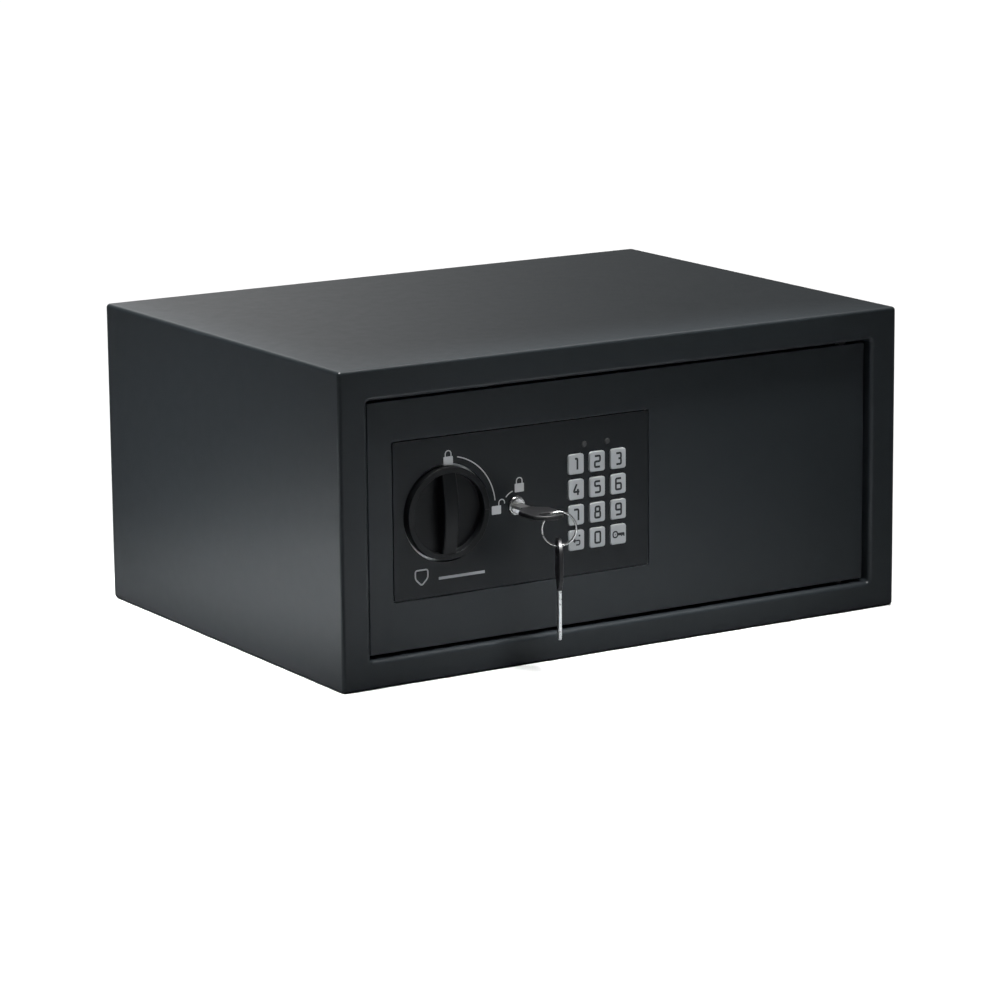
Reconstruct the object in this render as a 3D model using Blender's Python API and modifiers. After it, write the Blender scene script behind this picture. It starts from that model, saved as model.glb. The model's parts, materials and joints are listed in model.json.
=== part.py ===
"""A laptop-size in-room safe with an electronic keypad, a turn knob and an emergency key lock.

Metres, +Z up. The origin is the middle of the underside: X runs to the right of someone who
faces the door, and Y runs to the back. Every piece is its own object, at rest with the door
shut, the bolts drawn back and the key in its lock.
"""

from math import atan2, cos, hypot, pi, radians, sin

import bmesh
import bpy
from mathutils import Matrix, Vector

MM = 0.001
AIR = 0.3 * MM  # the gap left between pieces that touch

# Body
BODY_WIDTH = 430 * MM
BODY_DEPTH = 316 * MM
BODY_HEIGHT = 205 * MM
SHEET = 2 * MM
CORNER = 2.5 * MM
FRONT = -BODY_DEPTH / 2
MAT_THICKNESS = 3 * MM
ANCHOR_RADIUS = 5 * MM
ANCHOR_X = 100 * MM
ANCHOR_FLOOR_Y = 40 * MM
ANCHOR_BACK_Z = 100 * MM

# Front frame: the opening between its folded lips
OPENING_LEFT = -194.5 * MM
OPENING_RIGHT = 194.5 * MM
OPENING_BOTTOM = 18.5 * MM
OPENING_TOP = 184.5 * MM
LIP_BEND = 3 * MM
LIP_DEPTH = 21.5 * MM

# Door leaf
DOOR_FRONT = FRONT + 5 * MM
DOOR_THICKNESS = 4 * MM
DOOR_BACK = DOOR_FRONT + DOOR_THICKNESS
DOOR_LEFT = OPENING_LEFT + 2 * MM
DOOR_RIGHT = OPENING_RIGHT - 2.5 * MM
DOOR_BOTTOM = OPENING_BOTTOM + 2.2 * MM
DOOR_TOP = OPENING_TOP - 2 * MM
HINGE_X = DOOR_RIGHT - 14 * MM
HINGE_TUBE_RADIUS = 3.5 * MM
HINGE_TUBE_LENGTH = 24 * MM
HINGE_PIN_RADIUS = 2 * MM
HINGE_Y = DOOR_BACK + AIR + HINGE_TUBE_RADIUS

# Fascia let into the door
FASCIA_LEFT = -174 * MM
FASCIA_RIGHT = 18 * MM
FASCIA_BOTTOM = 53.2 * MM
FASCIA_TOP = 155.2 * MM
FASCIA_GAP = 0.6 * MM
FASCIA_FRONT = DOOR_FRONT + 0.3 * MM
FASCIA_WALL = 2.5 * MM
FASCIA_BACK = DOOR_BACK

# Mounting plate behind the fascia
MOUNT_FRONT = DOOR_BACK + AIR
MOUNT_BACK = MOUNT_FRONT + 2 * MM
MOUNT_MARGIN = 8 * MM

# Knob
KNOB_X = -135 * MM
KNOB_Z = 105.9 * MM
KNOB_RADIUS = 30 * MM
KNOB_HOLE_RADIUS = 31.7 * MM
KNOB_RIM = 4 * MM
KNOB_PROUD = 3.5 * MM
KNOB_RECESS = 5.4 * MM
KNOB_FRONT = FASCIA_FRONT - KNOB_PROUD
KNOB_FLOOR = KNOB_FRONT + KNOB_RECESS
KNOB_BACK = DOOR_BACK - AIR
GRIP_WIDTH = 10.4 * MM
GRIP_CROWN = 3.5 * MM
BOSS_RADIUS = 7 * MM
BOSS_BACK = MOUNT_BACK + 0.6 * MM

# Keypad
KEY_WIDTH = 11.6 * MM
KEY_HEIGHT = 13.1 * MM
KEY_PITCH_X = 16.2 * MM
KEY_PITCH_Z = 16.7 * MM
KEYPAD_LEFT_X = -38 * MM
KEYPAD_TOP_Z = 126.2 * MM
KEY_PROUD = 1.1 * MM
KEY_TRAVEL = 0.8 * MM
KEY_SLIT = 0.35 * MM
KEY_FLANGE = 1.1 * MM
LED_X = (-31.2 * MM, -13.6 * MM)
LED_Z = 138.5 * MM
LED_RADIUS = 2 * MM
BOARD_THICKNESS = 1.6 * MM

# Bolt work
BOLT_TRAVEL = 15 * MM
BOLT_RADIUS = 7 * MM
BOLT_Y = FRONT + LIP_DEPTH + 2 * MM + BOLT_RADIUS
BOLT_Z = (76 * MM, 136 * MM)
BOLT_END_X = -189 * MM
CARRIAGE_LEFT = -164 * MM  # a bolt's throw to the right of the guide, and 1 mm more
CARRIAGE_RIGHT = -104 * MM
CARRIAGE_FRONT = FRONT + 24.5 * MM
CARRIAGE_SHEET = 2.5 * MM
CRANK_RADIUS = BOLT_TRAVEL / (2 * sin(pi / 4))
CRANK_PIN_RADIUS = 2.5 * MM
SCREW_ROOM = 6 * MM

# Emergency lock
LOCK_X = -83.1 * MM
LOCK_Z = 104.4 * MM
LOCK_FACE_RADIUS = 6 * MM
LOCK_PLUG_RADIUS = 4.8 * MM
LOCK_FRONT = FASCIA_FRONT - 1.6 * MM
LOCK_LENGTH = 27 * MM
PLUG_PROUD = 0.3 * MM
KEYWAY_WIDTH = 8.6 * MM
KEYWAY_HEIGHT = 2.8 * MM

# Keys on their ring
BLADE_WIDTH = 7.6 * MM
BLADE_THICKNESS = 2 * MM
BLADE_LENGTH = 33 * MM
NECK_LENGTH = 11 * MM
BOW_WIDTH = 23 * MM
BOW_LENGTH = 33 * MM
BOW_THICKNESS = 2.8 * MM
BOW_HOLE_RADIUS = 4 * MM
BOW_HOLE_WIDTH = 12.4 * MM
BOW_HOLE_ALONG = 25.1 * MM  # from the shoulder to the middle of the hole
RING_RADIUS = 10.9 * MM
RING_WIRE = 0.7 * MM
RING_TURN = radians(26)  # the ring's plane, turned from the door's
RING_HOLD = radians(128)  # where on the ring the lock's key holds it

# Cover on the inside of the door, and what it holds
COVER_LEFT = -188 * MM
COVER_RIGHT = 30 * MM
COVER_BOTTOM = 36 * MM
COVER_TOP = 168 * MM
COVER_BACK = FRONT + 45 * MM
COVER_SHEET = 1.2 * MM
COVER_BEND = 2.4 * MM  # the outer radius of its folds
POST_RADIUS = 4 * MM
POST_INSET = 9 * MM
SCREW_RADIUS = 1.8 * MM
SCREW_LENGTH = 8 * MM
BATTERY_RADIUS = 7.1 * MM
BATTERY_LENGTH = 50 * MM
BATTERY_PITCH = 15 * MM
BATTERY_MIDDLE_X = -21 * MM
BATTERY_MIDDLE_Z = 92 * MM
LID_THICKNESS = 2 * MM
RESET_X = -74 * MM
RESET_Z = 148 * MM
RESET_RADIUS = 3 * MM
SOLENOID_X = -108 * MM
PLUNGER_RADIUS = 3 * MM


# ---------------------------------------------------------------- scene and materials

def clear_scene():
    for obj in list(bpy.data.objects):
        bpy.data.objects.remove(obj)


def collection(name):
    made = bpy.data.collections.new(name)
    bpy.context.scene.collection.children.link(made)
    return made


def material(name, colour, roughness, metallic=0.0):
    """One Principled material for each sub-part."""
    made = bpy.data.materials.new(name)
    made.use_nodes = True
    shader = made.node_tree.nodes["Principled BSDF"]
    shader.inputs["Base Color"].default_value = (*colour, 1)
    shader.inputs["Roughness"].default_value = roughness
    shader.inputs["Metallic"].default_value = metallic
    made.diffuse_color = (*colour, 1)
    return made


POWDER_COAT = ((0.030, 0.034, 0.038), 0.55, 0.0)
BLACK_PLASTIC = ((0.012, 0.013, 0.014), 0.42, 0.0)
KEY_PLASTIC = ((0.42, 0.43, 0.43), 0.5, 0.0)
LENS_PLASTIC = ((0.16, 0.16, 0.15), 0.3, 0.0)
ZINC_STEEL = ((0.58, 0.59, 0.60), 0.38, 1.0)
BRIGHT_STEEL = ((0.72, 0.72, 0.71), 0.2, 1.0)
GREEN_BOARD = ((0.02, 0.12, 0.05), 0.45, 0.0)
GREY_RUBBER = ((0.10, 0.10, 0.10), 0.8, 0.0)
FELT = ((0.05, 0.05, 0.055), 0.95, 0.0)
BATTERY_WRAP = ((0.05, 0.06, 0.09), 0.35, 0.0)
RED_PLASTIC = ((0.45, 0.03, 0.02), 0.4, 0.0)


def add(obj, name, look):
    """Names an object, gives it its own material and puts it with the safe's parts."""
    obj.name = obj.data.name = name
    obj.data.materials.clear()
    obj.data.materials.append(material(name, *look))
    PARTS.objects.link(obj)
    return obj


def hide(obj, name):
    """Makes an object a cutter or a tool that is joined on: never a part."""
    obj.name = obj.data.name = name
    obj.hide_render = True
    obj.display_type = "WIRE"
    CUTTERS.objects.link(obj)
    return obj


# ---------------------------------------------------------------- shapes

def from_bmesh(shape):
    mesh = bpy.data.meshes.new("mesh")
    shape.to_mesh(mesh)
    shape.free()
    return bpy.data.objects.new("shape", mesh)


def box(low, high, origin=None):
    """A box between two corners, with its object's origin at the middle unless another is given."""
    low, high = Vector(low), Vector(high)
    middle = Vector(origin) if origin else (low + high) / 2
    shape = bmesh.new()
    bmesh.ops.create_cube(shape, size=1)
    size = high - low
    bmesh.ops.transform(
        shape,
        matrix=Matrix.Translation((low + high) / 2 - middle) @ Matrix.Diagonal((*size, 1)),
        verts=shape.verts,
    )
    obj = from_bmesh(shape)
    obj.location = middle
    return obj


def rod(start, end, radius, end_radius=None, sides=32):
    """A round bar, or a cone, between two points on one of the world's axes."""
    start, end = Vector(start), Vector(end)
    shape = bmesh.new()
    bmesh.ops.create_cone(
        shape,
        cap_ends=True,
        segments=sides,
        radius1=radius,
        radius2=radius if end_radius is None else end_radius,
        depth=(end - start).length,
    )
    obj = from_bmesh(shape)
    obj.location = (start + end) / 2
    obj.rotation_euler = (end - start).to_track_quat("Z", "Y").to_euler()
    return smooth(obj)


def turned(profile, location, sides=48):
    """A solid turned about Y from its profile: (radius, y) points, from the front to the back."""
    shape = bmesh.new()
    corners = [shape.verts.new((radius, 0, -y)) for radius, y in profile]
    for pair in zip(corners, corners[1:]):
        shape.edges.new(pair)
    obj = from_bmesh(shape)
    obj.location = location
    obj.rotation_euler = (pi / 2, 0, 0)
    screw = obj.modifiers.new("turn", "SCREW")
    screw.axis = "Z"
    screw.steps = screw.render_steps = sides
    screw.use_merge_vertices = True
    screw.merge_threshold = 0.00001
    return obj


def rounded(left, bottom, right, top, radius, steps=4):
    """The outline of a rectangle with round corners."""
    middles = ((right, top, 0), (left, top, 1), (left, bottom, 2), (right, bottom, 3))
    points = []
    for x, z, quarter in middles:
        x += -radius if x == right else radius
        z += -radius if z == top else radius
        for step in range(steps + 1):
            angle = (quarter + step / steps) * pi / 2
            points.append((x + radius * cos(angle), z + radius * sin(angle)))
    return points


def circle(x, z, radius, steps=32):
    return [
        (x + radius * cos(2 * pi * step / steps), z + radius * sin(2 * pi * step / steps))
        for step in range(steps)
    ]


def link_outline(x0, z0, r0, x1, z1, r1, steps=10):
    """The outline of an arm: two round ends with straight sides between them."""
    length = hypot(x1 - x0, z1 - z0)
    along = atan2(z1 - z0, x1 - x0)
    lean = pi / 2 + atan2(r1 - r0, length)
    points = []
    for step in range(steps + 1):
        angle = along + lean + (2 * pi - 2 * lean) * step / steps
        points.append((x0 + r0 * cos(angle), z0 + r0 * sin(angle)))
    for step in range(steps + 1):
        angle = along - lean + 2 * lean * step / steps
        points.append((x1 + r1 * cos(angle), z1 + r1 * sin(angle)))
    return points


def outline_curve(outlines, thickness):
    """A filled flat curve from its outer outline and those of its holes."""
    curve = bpy.data.curves.new("outline", "CURVE")
    curve.dimensions = "2D"
    curve.fill_mode = "BOTH"
    curve.extrude = thickness / 2
    for points in outlines:
        spline = curve.splines.new("POLY")
        spline.points.add(len(points) - 1)
        for point, (u, v) in zip(spline.points, points):
            point.co = (u, v, 0, 1)
        spline.use_cyclic_u = True
    return bpy.data.objects.new("outline", curve)


FACING = {
    "front": (pi / 2, 0, 0),
    "up": (0, 0, 0),
    "side": (pi / 2, 0, pi / 2),
}


def plate(outlines, low, high, facing="front", origin=(0, 0)):
    """A flat sheet from its outlines, between two places on the axis that it is square to.

    A sheet that faces front has (x, z) outlines, up has (x, y), and side has (y, z).
    """
    shifted = [[(u - origin[0], v - origin[1]) for u, v in points] for points in outlines]
    obj = outline_curve(shifted, high - low)
    middle = (low + high) / 2
    if facing == "front":
        obj.location = (origin[0], middle, origin[1])
    elif facing == "up":
        obj.location = (origin[0], origin[1], middle)
    else:
        obj.location = (middle, origin[0], origin[1])
    obj.rotation_euler = FACING[facing]
    return obj


def round_edges(obj, width, segments=2, angle=radians(40)):
    """Rounds the sharp edges of an object, after welding a curve's loose caps."""
    if obj.type == "CURVE":
        weld = obj.modifiers.new("weld", "WELD")
        weld.merge_threshold = 0.00001
    bevel = obj.modifiers.new("round", "BEVEL")
    bevel.width = width
    bevel.segments = segments
    bevel.limit_method = "ANGLE"
    bevel.angle_limit = angle
    return obj


def smooth(obj, angle=radians(35)):
    obj.data.shade_smooth()
    obj.data.set_sharp_from_angle(angle=angle)
    return obj


def as_mesh(obj):
    """The object as a plain mesh object, with its modifiers applied and its caps welded."""
    holder = bpy.data.collections.new("holder")
    bpy.context.scene.collection.children.link(holder)
    holder.objects.link(obj)
    bpy.context.view_layer.update()
    evaluated = obj.evaluated_get(bpy.context.evaluated_depsgraph_get())
    mesh = bpy.data.meshes.new_from_object(evaluated)
    shape = bmesh.new()
    shape.from_mesh(mesh)
    bmesh.ops.remove_doubles(shape, verts=shape.verts, dist=0.00001)
    shape.to_mesh(mesh)
    shape.free()
    made = bpy.data.objects.new("mesh", mesh)
    made.matrix_world = obj.matrix_world
    bpy.data.objects.remove(obj)
    bpy.data.collections.remove(holder)
    return made


def combine(obj, tool, operation):
    """Cuts the tool from the object, or joins it on, with an exact Boolean."""
    boolean = obj.modifiers.new(operation.lower(), "BOOLEAN")
    boolean.operation = operation
    boolean.object = tool
    boolean.solver = "EXACT"
    return obj


def cut(obj, *tools):
    for number, tool in enumerate(tools, 1):
        combine(obj, hide(tool, f"{obj.name}_cutter_{number}"), "DIFFERENCE")
    return obj


def join(obj, *tools):
    for number, tool in enumerate(tools, 1):
        combine(obj, hide(tool, f"{obj.name}_joined_{number}"), "UNION")
    return obj


def loft(sections):
    """An open skin through closed outlines of equal length, each given as points in space."""
    shape = bmesh.new()
    loops = []
    for points in sections:
        corners = [shape.verts.new(point) for point in points]
        loops.append([shape.edges.new(pair) for pair in zip(corners, corners[1:] + corners[:1])])
    for first, second in zip(loops, loops[1:]):
        bmesh.ops.bridge_loops(shape, edges=first + second)
    bmesh.ops.recalc_face_normals(shape, faces=shape.faces)
    return from_bmesh(shape)


# ---------------------------------------------------------------- body

def body_shell():
    """The wrap: floor, sides and roof folded from one sheet, open at the front and the back."""
    half = BODY_WIDTH / 2
    outer = rounded(-half, 0, half, BODY_HEIGHT, CORNER, steps=3)
    inner = rounded(
        SHEET - half, SHEET, half - SHEET, BODY_HEIGHT - SHEET, CORNER - SHEET, steps=3
    )
    wrap = as_mesh(plate([outer, inner], FRONT + SHEET + AIR, -FRONT))
    add(wrap, "body_shell", POWDER_COAT)
    cut(wrap, *anchor_cutters_floor())


def anchor_cutters_floor():
    return [
        rod((x, ANCHOR_FLOOR_Y, -SHEET), (x, ANCHOR_FLOOR_Y, 4 * SHEET), ANCHOR_RADIUS, sides=24)
        for x in (-ANCHOR_X, ANCHOR_X)
    ]


def back_panel():
    """The back, welded in between the walls, with two holes for wall anchors."""
    half = BODY_WIDTH / 2 - SHEET - AIR
    low, high = SHEET + AIR, BODY_HEIGHT - SHEET - AIR
    holes = [circle(x, ANCHOR_BACK_Z, ANCHOR_RADIUS, steps=24) for x in (-ANCHOR_X, ANCHOR_X)]
    outline = rounded(-half, low, half, high, 0.5 * MM, steps=1)
    add(plate([outline, *holes], -FRONT - SHEET, -FRONT), "back_panel", POWDER_COAT)


def frame_section(grow, y, corner):
    """The frame's opening, made larger by an amount on every side, at one depth."""
    points = rounded(
        OPENING_LEFT - grow, OPENING_BOTTOM - grow, OPENING_RIGHT + grow, OPENING_TOP + grow,
        corner,
    )
    return [(x, y, z) for x, z in points]


def front_frame():
    """The flange round the door and the lip folded back from it, in one sheet."""
    half = BODY_WIDTH / 2
    outline = rounded(-half, 0, half, BODY_HEIGHT, CORNER)
    sections = [[(x, FRONT, z) for x, z in outline]]
    for step in range(5):
        angle = step / 4 * pi / 2
        grow = LIP_BEND * (1 - sin(angle))
        depth = LIP_BEND * (1 - cos(angle))
        sections.append(frame_section(grow, FRONT + depth, 2 * MM + grow))
    sections.append(frame_section(0, FRONT + LIP_DEPTH, 2 * MM))
    frame = add(loft(sections), "front_frame", POWDER_COAT)
    thicken = frame.modifiers.new("sheet", "SOLIDIFY")
    thicken.thickness = SHEET
    thicken.offset = -1
    thicken.use_even_offset = True
    cut(frame, hinge_rod(-SHEET, BODY_HEIGHT + SHEET, HINGE_PIN_RADIUS + AIR))
    return smooth(frame, radians(50))


def floor_mat():
    """The felt mat on the floor, with holes over the anchor holes."""
    half = BODY_WIDTH / 2 - SHEET - 1 * MM
    low, high = FRONT + LIP_DEPTH + 1 * MM, -FRONT - SHEET - 1 * MM
    holes = [circle(x, ANCHOR_FLOOR_Y, ANCHOR_RADIUS, steps=24) for x in (-ANCHOR_X, ANCHOR_X)]
    bottom = SHEET + AIR
    mat = plate(
        [rounded(-half, low, half, high, 6 * MM), *holes], bottom, bottom + MAT_THICKNESS, "up"
    )
    add(mat, "floor_mat", FELT)


def hinge_rod(low, high, radius, sides=16):
    return rod((HINGE_X, HINGE_Y, low), (HINGE_X, HINGE_Y, high), radius, sides=sides)


def hinge_pins():
    """Two upright pins, from outside each lip into the tubes on the door, with flat heads."""
    reach = HINGE_TUBE_LENGTH * 0.7
    head = 1.5 * MM
    bottom, top = OPENING_BOTTOM - SHEET - AIR, OPENING_TOP + SHEET + AIR
    lower = add(hinge_rod(bottom - head, DOOR_BOTTOM + reach, HINGE_PIN_RADIUS),
                "hinge_pin_lower", ZINC_STEEL)
    join(lower, hinge_rod(bottom - head, bottom, 2 * HINGE_PIN_RADIUS))
    upper = add(hinge_rod(DOOR_TOP - reach, top + head, HINGE_PIN_RADIUS),
                "hinge_pin_upper", ZINC_STEEL)
    join(upper, hinge_rod(top, top + head, 2 * HINGE_PIN_RADIUS))


# ---------------------------------------------------------------- door

def door_plate():
    """The door's steel leaf, with the window that the fascia is let into."""
    leaf = rounded(DOOR_LEFT, DOOR_BOTTOM, DOOR_RIGHT, DOOR_TOP, 1 * MM, steps=2)
    gap = FASCIA_GAP
    window = rounded(
        FASCIA_LEFT - gap, FASCIA_BOTTOM - gap, FASCIA_RIGHT + gap, FASCIA_TOP + gap,
        1.5 * MM, steps=3,
    )
    add(plate([leaf, window], DOOR_FRONT, DOOR_BACK, origin=(HINGE_X, 0)), "door_plate",
        POWDER_COAT)


def hinge_tubes():
    """Two short tubes, welded upright on the back of the door, that turn on the pins."""
    places = (("hinge_tube_lower", DOOR_BOTTOM), ("hinge_tube_upper", DOOR_TOP - HINGE_TUBE_LENGTH))
    for name, low in places:
        rings = [
            circle(HINGE_X, HINGE_Y, radius, steps=20)
            for radius in (HINGE_TUBE_RADIUS, HINGE_PIN_RADIUS + AIR)
        ]
        tube = plate(rings, low, low + HINGE_TUBE_LENGTH, "up", origin=(HINGE_X, HINGE_Y))
        add(tube, name, ZINC_STEEL)


def mount_outline():
    return rounded(
        FASCIA_LEFT - MOUNT_MARGIN, FASCIA_BOTTOM - MOUNT_MARGIN,
        FASCIA_RIGHT + MOUNT_MARGIN, FASCIA_TOP + MOUNT_MARGIN, 3 * MM, steps=3,
    )


def cover_posts():
    """Where the four posts stand that the inner cover is screwed to: (x, z)."""
    left, right = COVER_LEFT + POST_INSET + 4 * MM, COVER_RIGHT - POST_INSET
    bottom, top = COVER_BOTTOM + POST_INSET + 4 * MM, COVER_TOP - POST_INSET - 4 * MM
    return ((left, bottom), (right, bottom), (left, top), (right, top))


def mount_plate():
    """The steel plate behind the fascia, with its posts, that carries the lock's works."""
    margin = 3 * MM
    left = KEYPAD_LEFT_X - KEY_WIDTH / 2 - margin
    right = KEYPAD_LEFT_X + 2 * KEY_PITCH_X + KEY_WIDTH / 2 + margin
    low = KEYPAD_TOP_Z - 3 * KEY_PITCH_Z - KEY_HEIGHT / 2 - margin
    holes = [
        circle(KNOB_X, KNOB_Z, BOSS_RADIUS + 2 * AIR, steps=24),
        circle(LOCK_X, LOCK_Z, LOCK_FACE_RADIUS + AIR, steps=24),
        rounded(left, low, right, LED_Z + LED_RADIUS + margin, 2 * MM, steps=2),
    ]
    back = as_mesh(plate([mount_outline(), *holes], MOUNT_FRONT, MOUNT_BACK))
    add(back, "mount_plate", ZINC_STEEL)
    end = COVER_BACK - COVER_SHEET - AIR
    posts = [
        rod((x, MOUNT_BACK - 1 * MM, z), (x, end, z), POST_RADIUS, sides=12)
        for x, z in cover_posts()
    ]
    join(back, *posts)
    sockets = [
        rod((x, end - SCREW_LENGTH - 1 * MM, z), (x, end + 1 * MM, z), SCREW_RADIUS + AIR, sides=12)
        for x, z in cover_posts()
    ]
    cut(back, *sockets)


def key_places():
    """The name and the middle of each key: (name, x, z), row by row from the top left."""
    names = ("1", "2", "3", "4", "5", "6", "7", "8", "9", "clear", "0", "enter")
    for number, name in enumerate(names):
        row, column = divmod(number, 3)
        yield name, KEYPAD_LEFT_X + column * KEY_PITCH_X, KEYPAD_TOP_Z - row * KEY_PITCH_Z


def key_outline(x, z, grow, corner):
    across, up = KEY_WIDTH / 2 + grow, KEY_HEIGHT / 2 + grow
    return rounded(x - across, z - up, x + across, z + up, corner, steps=2)


def fascia():
    """The moulded panel, with holes for the knob, the lock, the keys and the lamps."""
    outline = rounded(FASCIA_LEFT, FASCIA_BOTTOM, FASCIA_RIGHT, FASCIA_TOP, 1.2 * MM, steps=3)
    holes = [
        circle(KNOB_X, KNOB_Z, KNOB_HOLE_RADIUS, steps=64),
        circle(LOCK_X, LOCK_Z, LOCK_FACE_RADIUS + AIR, steps=32),
    ]
    holes += [key_outline(x, z, KEY_SLIT, 1.9 * MM) for _, x, z in key_places()]
    holes += [circle(x, LED_Z, LED_RADIUS + 0.1 * MM, steps=16) for x in LED_X]
    panel = add(as_mesh(plate([outline], FASCIA_FRONT, FASCIA_BACK)), "fascia", BLACK_PLASTIC)
    wall, past = 1.6 * MM, 1 * MM
    inner = rounded(
        FASCIA_LEFT + wall, FASCIA_BOTTOM + wall, FASCIA_RIGHT - wall, FASCIA_TOP - wall,
        1 * MM, steps=3,
    )
    hollow = plate([inner], FASCIA_FRONT + FASCIA_WALL, FASCIA_BACK + past)
    cut(panel, as_mesh(hollow), as_mesh(plate(holes, FASCIA_FRONT - past, FASCIA_BACK + 2 * past)))


def keypad():
    """Twelve keys. Each has a flange behind the fascia that holds it in its hole."""
    flange_front = FASCIA_FRONT + FASCIA_WALL + AIR
    for name, x, z in key_places():
        cap = plate(
            [key_outline(x, z, 0, 1.7 * MM)],
            FASCIA_FRONT - KEY_PROUD, flange_front + 0.4 * MM, origin=(x, z),
        )
        cap = add(as_mesh(cap), f"key_{name}", KEY_PLASTIC)
        flange = plate(
            [key_outline(x, z, KEY_FLANGE, 1 * MM)], flange_front, flange_front + 0.7 * MM
        )
        join(cap, as_mesh(flange))
        round_edges(cap, 0.35 * MM, segments=1, angle=radians(60))


def keypad_back():
    """The rubber mat that the keys press on, and the circuit board behind it."""
    low = KEYPAD_TOP_Z - 3 * KEY_PITCH_Z - KEY_HEIGHT / 2 - 2 * MM
    left = KEYPAD_LEFT_X - KEY_WIDTH / 2 - 2 * MM
    right = KEYPAD_LEFT_X + 2 * KEY_PITCH_X + KEY_WIDTH / 2 + 2 * MM
    front = FASCIA_FRONT + FASCIA_WALL + AIR + 0.7 * MM + KEY_TRAVEL + AIR
    board_front = MOUNT_BACK + AIR
    top = KEYPAD_TOP_Z + KEY_HEIGHT / 2 + 2 * MM
    add(plate([rounded(left, low, right, top, 1 * MM, steps=2)], front, board_front - AIR),
        "keypad_mat", GREY_RUBBER)
    reach = 6 * MM
    outline = rounded(left - reach, low - reach, right + 3 * MM, LED_Z + reach, 1 * MM, steps=2)
    add(plate([outline], board_front, board_front + BOARD_THICKNESS), "circuit_board", GREEN_BOARD)


def leds():
    """Two domed lamps above the keys."""
    length = MOUNT_BACK - FASCIA_FRONT
    for name, x in zip(("led_left", "led_right"), LED_X):
        dome = [
            (LED_RADIUS * sin(step / 4 * pi / 2), -0.9 * MM * cos(step / 4 * pi / 2))
            for step in range(5)
        ]
        lamp = turned([*dome, (LED_RADIUS, length), (0, length)], (x, FASCIA_FRONT, LED_Z), sides=16)
        smooth(add(lamp, name, LENS_PLASTIC))


# ---------------------------------------------------------------- knob and bolt work

def knob():
    """The knob: a dished disc with a crowned grip across it and a boss behind."""
    inner = KNOB_RADIUS - KNOB_RIM
    edge = 0.8 * MM
    rim, floor, back = KNOB_FRONT, KNOB_FLOOR, KNOB_BACK
    profile = [
        (0, floor),
        (inner - edge, floor),
        (inner - edge * 0.3, floor - edge * 0.3),
        (inner, floor - edge),
        (inner, rim + edge),
        (inner + edge * 0.3, rim + edge * 0.3),
        (inner + edge, rim),
        (KNOB_RADIUS - edge, rim),
        (KNOB_RADIUS - edge * 0.3, rim + edge * 0.3),
        (KNOB_RADIUS, rim + edge),
        (KNOB_RADIUS, back),
        (BOSS_RADIUS, back),
        (BOSS_RADIUS, BOSS_BACK),
        (0, BOSS_BACK),
    ]
    dish = add(turned(profile, (KNOB_X, 0, KNOB_Z), sides=64), "knob", BLACK_PLASTIC)
    join(dish, grip())
    return smooth(dish)


def grip():
    """The bar across the knob, highest in the middle, level with the rim at its ends."""
    reach = KNOB_RADIUS - KNOB_RIM + 1 * MM
    steps = 12
    sag = GRIP_CROWN + 0.4 * MM
    bow = (reach * reach + sag * sag) / (2 * sag)
    span = atan2(reach, bow - sag)
    crest = KNOB_FRONT - GRIP_CROWN
    front = []
    for step in range(steps + 1):
        angle = span * (1 - 2 * step / steps)
        front.append((crest + bow * (1 - cos(angle)), bow * sin(angle)))
    foot = KNOB_FLOOR + 0.8 * MM
    outline = [*front, (foot, -reach), (foot, reach)]
    half = GRIP_WIDTH / 2
    bar = plate([outline], KNOB_X - half, KNOB_X + half, "side")
    bar.location.z = KNOB_Z
    return as_mesh(round_edges(bar, 1.1 * MM, segments=3, angle=radians(60)))


def knob_drive():
    """The spindle behind the knob, the crank on its end and the screw that holds the crank."""
    crank_front, crank_back = CARRIAGE_FRONT - 0.7 * MM - 3 * MM, CARRIAGE_FRONT - 0.7 * MM
    spindle = rod(
        (KNOB_X, BOSS_BACK + AIR, KNOB_Z), (KNOB_X, crank_front - AIR, KNOB_Z), 4 * MM, sides=20
    )
    add(spindle, "knob_spindle", ZINC_STEEL)
    pin_x = KNOB_X + CRANK_RADIUS * cos(pi / 4)
    pin_z = KNOB_Z + CRANK_RADIUS * sin(pi / 4)
    arm = link_outline(KNOB_X, KNOB_Z, 8 * MM, pin_x, pin_z, 5 * MM)
    origin = (KNOB_X, KNOB_Z)
    crank = as_mesh(plate([arm], crank_front, crank_back, origin=origin))
    add(crank, "drive_crank", ZINC_STEEL)
    pin_end = CARRIAGE_FRONT + CARRIAGE_SHEET + 1 * MM
    join(crank, rod((pin_x, crank_front + 1 * MM, pin_z), (pin_x, pin_end, pin_z),
                    CRANK_PIN_RADIUS, sides=16))
    start = crank_back + AIR
    head = [(0, start), (3.6 * MM, start), (3.6 * MM, start + 2 * MM), (3 * MM, start + 2.6 * MM),
            (0, start + 2.6 * MM)]
    smooth(add(turned(head, (KNOB_X, 0, KNOB_Z), sides=20), "spindle_screw", ZINC_STEEL))


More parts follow.
